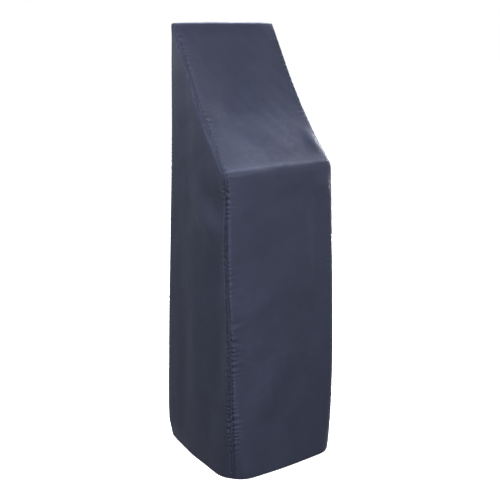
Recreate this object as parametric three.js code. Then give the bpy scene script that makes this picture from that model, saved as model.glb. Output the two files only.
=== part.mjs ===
// Fitted cover for a tall stack of chairs, as it hangs over the stack: two side panels and one
// long strip that runs up the front, back over the slope and the top fold, and down the back.
// Millimetres, +Z up, front towards -Y. The origin is the underside of the top fold, halfway
// along it, where the uppermost chair back holds the cover up.
import * as THREE from 'three';
import { mergeVertices } from 'three/addons/utils/BufferGeometryUtils.js';

// Driving sizes. In the outline, y is the depth behind the sharp top edge and z the height
// above the hem.
const ridgeHeight = 1179; // the fold over the front of the seats
const sharpTopHeight = 1715; // where slope and back would meet if the top were not rounded
const hemFront = -454;
const ridgeFront = -386;
const hemBack = 71;
const ridgeFoldRadius = 50;
const topFoldRadius = 8;

// Cloth
const clothThickness = 1.6;
const hemDepth = 14; // the turned-up edge, two layers thick
const hemStep = 4; // the run over which the hem thins to one layer
const hemThickness = 2.8;
const seamGap = 0.3; // between the cut edges of two panels

// How the cloth rounds its vertical corners: tight at the top, wide at the hem
const cornerRadius = 8.3;
const cornerSpread = 5; // the power by which a corner widens on its way down
const frontBow = 13; // how far the strip bellies out between its two seams at the hem
const sideBow = 9;

// Each side of the cover: half widths at three heights, the widened corners at the hem, and the
// sag of the slope's seam below a straight line, deepest at sagAt of the way up the slope
const leftSide = {
  name: 'left', out: -1,
  hemHalf: 262, ridgeHalf: 231, topHalf: 228,
  frontCorner: 100, backCorner: 62,
  sag: 20, sagAt: 0.37,
};
const rightSide = {
  name: 'right', out: 1,
  hemHalf: 245, ridgeHalf: 240, topHalf: 228,
  frontCorner: 70, backCorner: 62,
  sag: 29, sagAt: 0.46,
};

// Folds of the hung cloth, a row for each: where its middle lies (across the panel and above the
// hem), its half length and half width, how far it leans from upright in degrees, and how deep it
// dips. A negative depth stands out. On a side panel, across is the depth y.
const folds = [
  { on: 'left', across: -306, height: 1052, halfLength: 95, halfWidth: 34, lean: 54, depth: 11 },
  { on: 'left', across: -262, height: 985, halfLength: 130, halfWidth: 42, lean: 60, depth: -7 },
  { on: 'left', across: -335, height: 805, halfLength: 120, halfWidth: 34, lean: 3, depth: 9 },
  { on: 'left', across: -310, height: 330, halfLength: 330, halfWidth: 52, lean: -1, depth: 14 },
  { on: 'left', across: -190, height: 520, halfLength: 420, halfWidth: 60, lean: 4, depth: -6 },
  { on: 'left', across: -90, height: 420, halfLength: 210, halfWidth: 44, lean: -3, depth: 6 },
  { on: 'left', across: -120, height: 1250, halfLength: 260, halfWidth: 46, lean: 8, depth: 6 },
  { on: 'right', across: -150, height: 420, halfLength: 380, halfWidth: 56, lean: -4, depth: 12 },
  { on: 'right', across: -300, height: 960, halfLength: 150, halfWidth: 40, lean: 40, depth: 9 },
  { on: 'right', across: -40, height: 300, halfLength: 300, halfWidth: 44, lean: 3, depth: 8 },
  { on: 'right', across: -260, height: 240, halfLength: 260, halfWidth: 46, lean: 2, depth: -7 },
  { on: 'right', across: -140, height: 1230, halfLength: 250, halfWidth: 44, lean: 10, depth: 7 },
  { on: 'front', across: 90, height: 1062, halfLength: 120, halfWidth: 48, lean: 86, depth: 7 },
  { on: 'front', across: -115, height: 1075, halfLength: 62, halfWidth: 40, lean: 70, depth: -5 },
  { on: 'front', across: -60, height: 890, halfLength: 150, halfWidth: 60, lean: 62, depth: 6 },
  { on: 'front', across: -106, height: 740, halfLength: 75, halfWidth: 46, lean: 50, depth: -5 },
  { on: 'front', across: 172, height: 800, halfLength: 240, halfWidth: 30, lean: 2, depth: 6 },
  { on: 'front', across: -160, height: 385, halfLength: 110, halfWidth: 50, lean: 24, depth: -7 },
  { on: 'front', across: 110, height: 420, halfLength: 260, halfWidth: 58, lean: -8, depth: 7 },
  { on: 'slope', across: -40, height: 1440, halfLength: 190, halfWidth: 110, lean: 12, depth: 9 },
  { on: 'slope', across: -66, height: 1265, halfLength: 75, halfWidth: 26, lean: 25, depth: -4 },
  { on: 'slope', across: 20, height: 1290, halfLength: 110, halfWidth: 44, lean: 10, depth: 6 },
  { on: 'slope', across: 150, height: 1250, halfLength: 60, halfWidth: 26, lean: -20, depth: -5 },
  { on: 'back', across: -90, height: 420, halfLength: 380, halfWidth: 52, lean: -3, depth: 12 },
  { on: 'back', across: 40, height: 520, halfLength: 400, halfWidth: 58, lean: 2, depth: -8 },
  { on: 'back', across: 130, height: 380, halfLength: 330, halfWidth: 46, lean: 4, depth: 11 },
  { on: 'back', across: -30, height: 1250, halfLength: 260, halfWidth: 70, lean: 60, depth: 7 },
];

// How finely the panels are divided
const frontRuns = 26; // up the front, and one fewer down the back
const slopeRuns = 16;
const ridgeSteps = 2; // on each half of the ridge's round fold
const topSteps = 3; // on each half of the top fold
const cornerColumns = 3; // from a seam to where its corner's round ends
const flatColumns = 10;

const clamp = THREE.MathUtils.clamp;
const lerp = THREE.MathUtils.lerp;

function mixPoints(a, b, t) {
  return a.clone().lerp(b, t);
}

// Points along the arc that rounds a corner, from the line that arrives to the line that leaves
function roundedFold(corner, arriving, leaving, radius, halfSteps) {
  const turn = arriving.angleTo(leaving);
  const reach = radius * Math.tan(turn / 2);
  const way = Math.sign(arriving.cross(leaving));
  const start = corner.clone().addScaledVector(arriving, -reach);
  const inward = new THREE.Vector2(-arriving.y, arriving.x).multiplyScalar(way);
  const centre = start.clone().addScaledVector(inward, radius);
  const points = [];
  for (let step = 0; step <= 2 * halfSteps; step++) {
    const angle = (way * turn * step) / (2 * halfSteps);
    points.push(start.clone().rotateAround(centre, angle));
  }
  return { points, reach, centre };
}

// A straight run from the hem upwards, with a row at the hem's top edge
function runFromHem(hem, end, count) {
  const length = hem.distanceTo(end);
  const first = (hemDepth + hemStep) / length;
  const points = [hem.clone(), mixPoints(hem, end, hemDepth / length)];
  for (let i = 0; i < count - 1; i++) {
    points.push(mixPoints(hem, end, lerp(first, 1, i / (count - 2))));
  }
  return points;
}

// One side seen square on: rows from the front hem over the ridge and the top to the back hem,
// each with its place and the way that faces out
function outlineOf(side) {
  const ridge = new THREE.Vector2(ridgeFront, ridgeHeight);
  const top = new THREE.Vector2(0, sharpTopHeight);
  const frontHem = new THREE.Vector2(hemFront, 0);
  const backHem = new THREE.Vector2(hemBack, 0);
  const slopeLength = ridge.distanceTo(top);
  const slopeWay = top.clone().sub(ridge).normalize();
  const inward = new THREE.Vector2(slopeWay.y, -slopeWay.x);
  const skew = Math.log(0.5) / Math.log(side.sagAt);
  const onSlope = (t) =>
    mixPoints(ridge, top, t).addScaledVector(inward, side.sag * Math.sin(Math.PI * t ** skew));

  const nearEnd = 0.02;
  const upFront = ridge.clone().sub(frontHem).normalize();
  const offRidge = onSlope(nearEnd).sub(ridge).normalize();
  const toTop = top.clone().sub(onSlope(1 - nearEnd)).normalize();
  const downBack = backHem.clone().sub(top).normalize();
  const ridgeFold = roundedFold(ridge, upFront, offRidge, ridgeFoldRadius, ridgeSteps);
  const topFold = roundedFold(top, toTop, downBack, topFoldRadius, topSteps);

  const front = runFromHem(frontHem, ridgeFold.points[0], frontRuns);
  const back = runFromHem(backHem, topFold.points.at(-1), frontRuns - 1).reverse();
  const slope = [];
  const slopeStart = ridgeFold.reach / slopeLength;
  const slopeEnd = 1 - topFold.reach / slopeLength;
  for (let i = 1; i < slopeRuns; i++) {
    slope.push(onSlope(lerp(slopeStart, slopeEnd, i / slopeRuns)));
  }
  const points = [
    ...front.slice(0, -1), ...ridgeFold.points, ...slope, ...topFold.points, ...back.slice(1),
  ];
  const ridgeRow = front.length - 1 + ridgeSteps;
  const topRow = points.length - back.length - topSteps;
  return { points, facings: facingsOf(points), ridgeRow, topRow, topCentre: topFold.centre };
}

// The outward way at each point of a line that is walked with its outside on the left
function facingsOf(points) {
  const ways = points.slice(1).map((point, i) => point.clone().sub(points[i]).normalize());
  return points.map((_, i) => {
    const before = ways[Math.max(i - 1, 0)];
    const after = ways[Math.min(i, ways.length - 1)];
    const along = before.clone().add(after).normalize();
    return new THREE.Vector2(-along.y, along.x);
  });
}

function halfWidthAt(side, height) {
  if (height < ridgeHeight) return lerp(side.hemHalf, side.ridgeHalf, height / ridgeHeight);
  const above = (height - ridgeHeight) / (sharpTopHeight - ridgeHeight);
  return lerp(side.ridgeHalf, side.topHalf, above);
}

function cornerAt(side, height, isBack) {
  const wide = isBack ? side.backCorner : side.frontCorner;
  const below = clamp(1 - height / ridgeHeight, 0, 1);
  return lerp(cornerRadius, wide, below ** cornerSpread);
}

// The angle at a panel's cut edge: halfway round the corner, less its half of the gap, which is
// narrowest on the inside of the cloth
function edgeAngle(radius) {
  return Math.PI / 4 - seamGap / 2 / (radius - clothThickness);
}

// How far the folds of one panel push its cloth inwards at a place on it
function foldDepth(panel, across, height) {
  let depth = 0;
  for (const fold of folds) {
    if (fold.on !== panel) continue;
    const lean = THREE.MathUtils.degToRad(fold.lean);
    const dx = across - fold.across;
    const dz = height - fold.height;
    const along = (dx * Math.sin(lean) + dz * Math.cos(lean)) / fold.halfLength;
    const beside = (dx * Math.cos(lean) - dz * Math.sin(lean)) / fold.halfWidth;
    depth += fold.depth * Math.exp(-along * along - beside * beside);
  }
  return depth;
}

// Folds die out towards the seams that hold the cloth straight
function awayFromSeams(distance) {
  return THREE.MathUtils.smoothstep(distance, 4, 45);
}

// A sheet of cloth: a block one cell deep whose outer face is bent to place(column, row), and
// whose inner face lies one thickness behind it
function sheetOf(columns, rows, place) {
  const block = new THREE.BoxGeometry(columns, rows, 1, columns, rows, 1);
  block.deleteAttribute('normal');
  block.deleteAttribute('uv');
  const sheet = mergeVertices(block);
  const position = sheet.getAttribute('position');
  for (let i = 0; i < position.count; i++) {
    const column = Math.round(position.getX(i) + columns / 2);
    const row = Math.round(position.getY(i) + rows / 2);
    const { point, outward, thickness } = place(column, row);
    if (position.getZ(i) < 0) point.addScaledVector(outward, -thickness);
    position.setXYZ(i, point.x, point.y, point.z);
  }
  sheet.computeVertexNormals();
  return sheet;
}

// The two rows nearest a hem are its two layers
function thicknessAt(rowsFromHem) {
  return rowsFromHem < 2 ? hemThickness : clothThickness;
}

// The strip's place at one column of a row: round the left corner, flat, round the right corner
function acrossStrip(column, leftHalf, rightHalf, leftCorner, rightCorner) {
  const lastFlat = cornerColumns + flatColumns;
  if (column <= cornerColumns) {
    const angle = edgeAngle(leftCorner) * (1 - column / cornerColumns);
    return { x: leftCorner * (1 - Math.sin(angle)) - leftHalf, drop: leftCorner, angle: -angle };
  }
  if (column >= lastFlat) {
    const angle = (edgeAngle(rightCorner) * (column - lastFlat)) / cornerColumns;
    return { x: rightHalf - rightCorner * (1 - Math.sin(angle)), drop: rightCorner, angle };
  }
  const share = (column - cornerColumns) / flatColumns;
  return { x: lerp(leftCorner - leftHalf, rightHalf - rightCorner, share), drop: 0, angle: 0 };
}

function centreStrip(left, right) {
  const rows = left.points.length - 1;
  const columns = 2 * cornerColumns + flatColumns;

  const place = (column, row) => {
    const height = left.points[row].y;
    const isBack = row >= left.topRow;
    const leftHalf = halfWidthAt(leftSide, height);
    const rightHalf = halfWidthAt(rightSide, height);
    const leftCorner = cornerAt(leftSide, height, isBack);
    const rightCorner = cornerAt(rightSide, height, isBack);
    const at = (c) => acrossStrip(c, leftHalf, rightHalf, leftCorner, rightCorner);
    const { x, drop, angle } = at(column);
    const start = at(0).x;
    const end = at(columns).x;

    const share = (x + leftHalf) / (leftHalf + rightHalf);
    const middle = mixPoints(left.points[row], right.points[row], share);
    const facing = mixPoints(left.facings[row], right.facings[row], share).normalize();
    const between = (x - start) / (end - start);
    const belly = frontBow * 4 * between * (1 - between) * (1 - middle.y / sharpTopHeight);
    const panel = isBack ? 'back' : row > left.ridgeRow ? 'slope' : 'front';
    const fold = foldDepth(panel, x, middle.y) * awayFromSeams(Math.min(x - start, end - x));
    middle.addScaledVector(facing, belly - fold - drop * (1 - Math.cos(angle)));

    return {
      point: new THREE.Vector3(x, middle.x, middle.y),
      outward: new THREE.Vector3(
        Math.sin(angle), facing.x * Math.cos(angle), facing.y * Math.cos(angle)),
      thickness: thicknessAt(Math.min(row, rows - row)),
    };
  };
  return sheetOf(columns, rows, place);
}

// The nearest place on a side's outline to a point inside it
function nearestOn(outline, point) {
  const nearest = { distance: Infinity, row: 0, place: null };
  const closest = new THREE.Vector3();
  const line = new THREE.Line3();
  const flat = new THREE.Vector3(point.x, point.y, 0);
  for (let row = 0; row < outline.points.length - 1; row++) {
    const a = outline.points[row];
    const b = outline.points[row + 1];
    line.start.set(a.x, a.y, 0);
    line.end.set(b.x, b.y, 0);
    line.closestPointToPoint(flat, true, closest);
    const distance = closest.distanceTo(flat);
    if (distance < nearest.distance) {
      Object.assign(nearest, { distance, row, place: new THREE.Vector2(closest.x, closest.y) });
    }
  }
  return nearest;
}

// A side panel's cut edge: the outline drawn in halfway round the corner
function seamOf(side, outline) {
  return outline.points.map((point, row) => {
    const corner = cornerAt(side, point.y, row >= outline.topRow);
    const inset = corner * (1 - Math.sin(edgeAngle(corner)));
    const facing = outline.facings[row];
    return { corner, inset, facing, at: point.clone().addScaledVector(facing, -inset) };
  });
}

// Columns along a side panel's hem: close together round each corner, even between them
function hemShares(seam, columns) {
  const first = seam[0];
  const last = seam.at(-1);
  const length = first.at.distanceTo(last.at);
  const reachRound = (end, step) => {
    const angle = (Math.PI / 4) * (1 - step / cornerColumns);
    return (end.corner * (1 - Math.sin(angle)) - end.inset) / length;
  };
  const shares = [];
  for (let column = 0; column <= columns; column++) {
    const fromBack = columns - column;
    if (column <= cornerColumns) {
      shares.push(column === 0 ? 0 : reachRound(first, column));
    } else if (fromBack <= cornerColumns) {
      shares.push(fromBack === 0 ? 1 : 1 - reachRound(last, fromBack));
    } else {
      const flat = (column - cornerColumns) / (columns - 2 * cornerColumns);
      shares.push(lerp(reachRound(first, cornerColumns), 1 - reachRound(last, cornerColumns), flat));
    }
  }
  return shares;
}

function sidePanel(side, outline) {
  const seam = seamOf(side, outline);
  const rows = outline.ridgeRow;
  const columns = outline.topRow - outline.ridgeRow;
  const frontEdge = seam.slice(0, rows + 1);
  const slopeEdge = seam.slice(rows, rows + columns + 1);
  const backEdge = seam.slice(rows + columns).reverse();
  const hemFrontPoint = frontEdge[0].at;
  const hemBackPoint = backEdge[0].at;
  const shares = hemShares(seam, columns);
  const rise = frontEdge.map((edge) => edge.at.y / frontEdge[rows].at.y);

  // The four edges blended, so that each row and column leaves them smoothly
  const flatPlace = (column, row) => {
    const u = shares[column];
    const v = rise[row];
    const fromSides = mixPoints(frontEdge[row].at, backEdge[row].at, u);
    const fromEnds = mixPoints(
      mixPoints(hemFrontPoint, hemBackPoint, u), slopeEdge[column].at, v);
    const fromCorners = mixPoints(
      mixPoints(hemFrontPoint, hemBackPoint, u),
      mixPoints(frontEdge[rows].at, backEdge[rows].at, u), v);
    return fromSides.add(fromEnds).sub(fromCorners);
  };

  const edgeAt = (column, row) => {
    if (column === 0) return frontEdge[row];
    if (column === columns) return backEdge[row];
    return row === rows ? slopeEdge[column] : null;
  };

  const place = (boxColumn, row) => {
    // Seen from outside, the left panel's front edge is on the right
    const column = side.out < 0 ? columns - boxColumn : boxColumn;
    const flat = flatPlace(column, row);
    const edge = edgeAt(column, row);
    const near = nearestOn(outline, flat);
    const corner = edge ? edge.corner : cornerAt(side, flat.y, near.row >= outline.topRow);
    const distance = edge ? edge.inset : near.distance;
    const facing = edge ? edge.facing : near.place.sub(flat).normalize();
    const sine = clamp(1 - distance / corner, 0, 1);
    const cosine = Math.sqrt(1 - sine * sine);

    const u = shares[column];
    const belly = sideBow * 4 * u * (1 - u) * (1 - rise[row]);
    const fold = foldDepth(side.name, flat.x, flat.y) * awayFromSeams(distance);
    const x = halfWidthAt(side, flat.y) - corner * (1 - cosine) + belly - fold;
    return {
      point: new THREE.Vector3(side.out * x, flat.x, flat.y),
      outward: new THREE.Vector3(side.out * cosine, facing.x * sine, facing.y * sine),
      thickness: thicknessAt(row),
    };
  };
  return sheetOf(columns, rows, place);
}

const coatedCloth = { color: 0x3e4357, roughness: 0.55, metalness: 0 };
const group = new THREE.Group();
const leftOutline = outlineOf(leftSide);
const rightOutline = outlineOf(rightSide);

// The underside of the top fold comes to the origin
const hangingPoint = new THREE.Vector3(
  0, leftOutline.topCentre.x, leftOutline.topCentre.y + topFoldRadius - clothThickness);

function addPanel(name, geometry) {
  const panel = new THREE.Mesh(geometry, new THREE.MeshStandardMaterial(coatedCloth));
  panel.name = name;
  panel.position.copy(hangingPoint).negate();
  group.add(panel);
}

addPanel('centre_strip', centreStrip(leftOutline, rightOutline));
addPanel('side_left', sidePanel(leftSide, leftOutline));
addPanel('side_right', sidePanel(rightSide, rightOutline));

export default group;
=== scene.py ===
"""Looks of a fitted cover for a tall stack of chairs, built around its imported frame.

Metres, +Z up, the front towards -Y. The origin is the underside of the top fold, halfway along
it. The cover is sewn from two side panels and one long strip that runs up the front, back over
the slope and the top fold, and down the back. Each panel is one thin sheet, turned up and
stitched at its hem, and the panels meet in seams with two rows of stitches.
"""

import logging
import math
from dataclasses import dataclass, field
from enum import Enum

import bmesh
import bpy
import numpy as np
from mathutils import Matrix, Vector


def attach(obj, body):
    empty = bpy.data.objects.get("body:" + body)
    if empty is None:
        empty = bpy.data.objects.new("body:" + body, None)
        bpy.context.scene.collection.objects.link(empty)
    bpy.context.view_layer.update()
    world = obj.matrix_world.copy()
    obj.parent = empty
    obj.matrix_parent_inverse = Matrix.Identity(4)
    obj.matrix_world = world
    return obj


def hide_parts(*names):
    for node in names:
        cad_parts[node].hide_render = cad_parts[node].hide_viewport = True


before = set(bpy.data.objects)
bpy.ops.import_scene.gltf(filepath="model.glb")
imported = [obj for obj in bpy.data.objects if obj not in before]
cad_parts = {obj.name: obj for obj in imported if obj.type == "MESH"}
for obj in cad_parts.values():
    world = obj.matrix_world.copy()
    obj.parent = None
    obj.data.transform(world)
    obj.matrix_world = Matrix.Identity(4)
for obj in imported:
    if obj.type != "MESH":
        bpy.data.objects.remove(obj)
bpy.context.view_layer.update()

LOG = logging.getLogger("chair_cover")
BODY = "root"
Array = np.ndarray


class Panel(Enum):
    """The faces of the cover that a fold can lie on."""

    LEFT = "left"
    RIGHT = "right"
    FRONT = "front"
    SLOPE = "slope"
    BACK = "back"


def lerp(start: Array, end: Array, share: Array) -> Array:
    """The value a share of the way from start to end."""
    return start + (end - start) * share


def smoothstep(value: Array, low: float, high: float) -> Array:
    """Rises smoothly from 0 at low to 1 at high."""
    t = np.clip((value - low) / (high - low), 0.0, 1.0)
    return t * t * (3.0 - 2.0 * t)


def bump(value: Array, width: float) -> Array:
    """A soft hump, 1 at 0 and almost gone two widths away."""
    return np.exp(-((value / width) ** 2))


Table = tuple[tuple[float, float], ...]


def look_up(table: Table, value: Array) -> Array:
    """Reads a table of pairs, with straight lines between them."""
    return np.interp(value, *zip(*table))


def way_to(azimuth: float, elevation: float) -> Vector:
    """The unit way at degrees from the front towards the right, and degrees up."""
    turn, rise = math.radians(azimuth), math.radians(elevation)
    return Vector((math.sin(turn) * math.cos(rise), -math.cos(turn) * math.cos(rise),
                   math.sin(rise)))


def linked(name: str, data: bpy.types.ID) -> bpy.types.Object:
    """Makes an object from its data and links it to the scene."""
    made = bpy.data.objects.new(name, data)
    bpy.context.scene.collection.objects.link(made)
    return made


@dataclass(frozen=True)
class SideSizes:
    """One side of the cover.

    Half gives the half width by the height above the hem, and back_out how much further out the
    back edge stands. The hem corners are the widest radii, at the hem, and the others the radii
    of the edges above them. The sag is how far the slope hangs below a straight line, deepest at
    sag_at of the way up. Wander is how far the seam lies off the middle of its corner, towards
    the side panel, and pucker how strongly it is gathered, both by the distance along the seam
    from the front hem.
    """

    panel: Panel
    out: float
    half: Table
    back_out: Table
    front_hem_corner: float
    back_hem_corner: float
    front_edge: float
    back_edge: float
    sag: float
    sag_at: float
    wander: Table
    pucker: Table


LEFT_SIDE = SideSizes(
    Panel.LEFT, -1.0,
    half=((0.0, 0.262), (1.179, 0.231), (1.65, 0.2285), (1.715, 0.2315)),
    back_out=((0.0, -0.002), (0.03, 0.005), (0.07, 0.012), (0.12, 0.0125), (0.20, 0.011),
              (0.35, 0.0085), (0.70, 0.008), (1.25, 0.007), (1.60, 0.0)),
    front_hem_corner=0.100, back_hem_corner=0.072, front_edge=0.016, back_edge=0.024,
    sag=0.036, sag_at=0.37,
    wander=((0.0, 0.0), (0.25, 0.0), (0.33, 0.001), (0.40, -0.001), (0.47, -0.0025),
            (0.57, -0.001), (0.67, 0.003), (0.78, 0.008), (0.90, 0.0095), (1.09, 0.008),
            (1.16, 0.004), (1.22, -0.004), (1.30, -0.0095), (1.52, -0.0095), (1.64, -0.005),
            (1.76, -0.004), (1.83, 0.0), (2.50, 0.001), (3.55, 0.0)),
    pucker=((0.0, 0.3), (0.20, 0.9), (0.65, 1.0), (0.76, 0.6), (0.95, 0.7), (1.10, 1.0),
            (1.18, 0.7), (1.25, 0.5), (1.50, 0.6), (1.84, 0.3), (2.20, 0.6), (3.55, 0.4)),
)
RIGHT_SIDE = SideSizes(
    Panel.RIGHT, 1.0,
    half=((0.0, 0.251), (0.80, 0.2505), (1.179, 0.2485), (1.35, 0.2425), (1.60, 0.230),
          (1.66, 0.227), (1.715, 0.222)),
    back_out=((0.0, 0.0), (0.10, 0.004), (0.40, 0.0), (1.70, 0.0)),
    front_hem_corner=0.090, back_hem_corner=0.066, front_edge=0.020, back_edge=0.018,
    sag=0.029, sag_at=0.46,
    wander=((0.0, 0.0), (0.30, 0.001), (0.60, -0.001), (1.00, 0.0015), (1.20, 0.0),
            (1.60, -0.001), (1.85, 0.0), (2.70, 0.001), (3.55, 0.0)),
    pucker=((0.0, 0.3), (0.30, 0.7), (0.80, 0.5), (1.18, 0.5), (1.50, 0.4), (1.84, 0.3),
            (2.40, 0.6), (3.55, 0.4)),
)


@dataclass(frozen=True)
class Fold:
    """A soft trough in a panel, or a ridge where its depth is negative.

    Across is x on the strip and the depth y on a side panel, and height is above the hem. Lean is
    in degrees from upright. A fold that is at a seam keeps its depth there, as a pucker does.
    """

    panel: Panel
    across: float
    height: float
    half_length: float
    half_width: float
    lean: float
    depth: float
    at_seam: bool = False

    def dip(self, across: Array, height: Array) -> Array:
        """How far the fold pushes the cloth inwards.

        Args:
            across: places across the panel.
            height: heights above the hem.

        Returns:
            The depth at each place.
        """
        lean = math.radians(self.lean)
        dx, dz = across - self.across, height - self.height
        along = (dx * math.sin(lean) + dz * math.cos(lean)) / self.half_length
        beside = (dx * math.cos(lean) - dz * math.sin(lean)) / self.half_width
        return self.depth * np.exp(-along * along - beside * beside)


def folds_on(panel: Panel, *rows: tuple[float, ...], at_seam: bool = False) -> list[Fold]:
    """Folds of one panel: rows of across, height, half length, half width, lean and depth."""
    return [Fold(panel, *row, at_seam) for row in rows]


FOLDS = (
    *folds_on(
        Panel.LEFT,
        (-0.310, 1.050, 0.110, 0.044, 42, 0.014),
        (-0.255, 0.980, 0.120, 0.044, 40, -0.008),
        (-0.335, 0.800, 0.110, 0.055, 3, 0.015),
        (-0.345, 0.480, 0.160, 0.050, -2, 0.012),
        (-0.300, 0.200, 0.090, 0.045, 0, 0.006),
        (-0.190, 0.560, 0.330, 0.055, 4, -0.005),
        (-0.110, 0.300, 0.170, 0.044, -3, 0.005),
        (-0.120, 1.250, 0.260, 0.046, 8, 0.004),
    ),
    *folds_on(
        Panel.RIGHT,
        (-0.150, 0.420, 0.380, 0.056, -4, 0.012),
        (-0.300, 0.960, 0.150, 0.040, 40, 0.009),
        (-0.040, 0.300, 0.300, 0.044, 3, 0.008),
        (-0.260, 0.240, 0.260, 0.046, 2, -0.007),
        (-0.140, 1.230, 0.250, 0.044, 10, 0.007),
    ),
    *folds_on(
        Panel.FRONT,
        (-0.150, 1.060, 0.060, 0.050, 84, -0.006),
        (-0.185, 1.130, 0.050, 0.040, 80, -0.004),
        (0.050, 1.070, 0.140, 0.046, 86, 0.005),
        (0.205, 1.105, 0.040, 0.050, 20, -0.009),
        (-0.040, 0.890, 0.150, 0.070, 62, 0.004),
        (-0.070, 0.700, 0.090, 0.050, 60, -0.005),
        (0.160, 0.820, 0.240, 0.032, 2, 0.005),
        (-0.060, 0.360, 0.150, 0.080, 40, -0.008),
        (0.110, 0.520, 0.220, 0.058, -8, 0.004),
    ),
    *folds_on(
        Panel.SLOPE,
        (-0.060, 1.470, 0.150, 0.120, 8, 0.008),
        (-0.075, 1.360, 0.110, 0.075, 20, 0.008),
        (0.070, 1.290, 0.075, 0.085, 0, -0.006),
        (0.208, 1.260, 0.044, 0.026, -8, -0.006),
    ),
    *folds_on(
        Panel.BACK,
        (-0.090, 0.420, 0.380, 0.052, -3, 0.012),
        (0.040, 0.520, 0.400, 0.058, 2, -0.008),
        (0.130, 0.380, 0.330, 0.046, 4, 0.011),
        (-0.030, 1.250, 0.260, 0.070, 60, 0.007),
    ),
    # Puckers and small creases, drawn in by the seams
    *folds_on(
        Panel.FRONT,
        (-0.216, 0.632, 0.020, 0.0050, 84, 0.0020),
        (-0.216, 0.612, 0.024, 0.0080, 88, -0.0016),
        (-0.216, 0.557, 0.027, 0.0052, 119, 0.0028),
        (-0.214, 0.540, 0.028, 0.0080, 119, -0.0018),
        (-0.214, 0.502, 0.032, 0.0055, 122, 0.0026),
        (-0.210, 0.484, 0.032, 0.0085, 122, -0.0017),
        (-0.222, 0.410, 0.020, 0.0060, 150, 0.0016),
        at_seam=True,
    ),
    *folds_on(
        Panel.LEFT,
        (-0.404, 0.565, 0.016, 0.0052, 100, 0.0026),
        (-0.402, 0.548, 0.016, 0.0052, 96, 0.0024),
        (-0.405, 0.520, 0.016, 0.0055, 92, 0.0020),
        (-0.402, 0.440, 0.018, 0.0060, 110, 0.0018),
        (-0.398, 0.400, 0.026, 0.0060, 104, 0.0024),
        (-0.398, 0.384, 0.024, 0.0055, 98, 0.0020),
        (-0.410, 0.300, 0.016, 0.0055, 95, 0.0016),
        (-0.410, 0.270, 0.018, 0.0055, 112, 0.0018),
        (-0.372, 1.100, 0.022, 0.0070, 60, 0.0016),
        (-0.352, 1.085, 0.060, 0.034, 32, 0.0095),
        at_seam=True,
    ),
)


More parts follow.
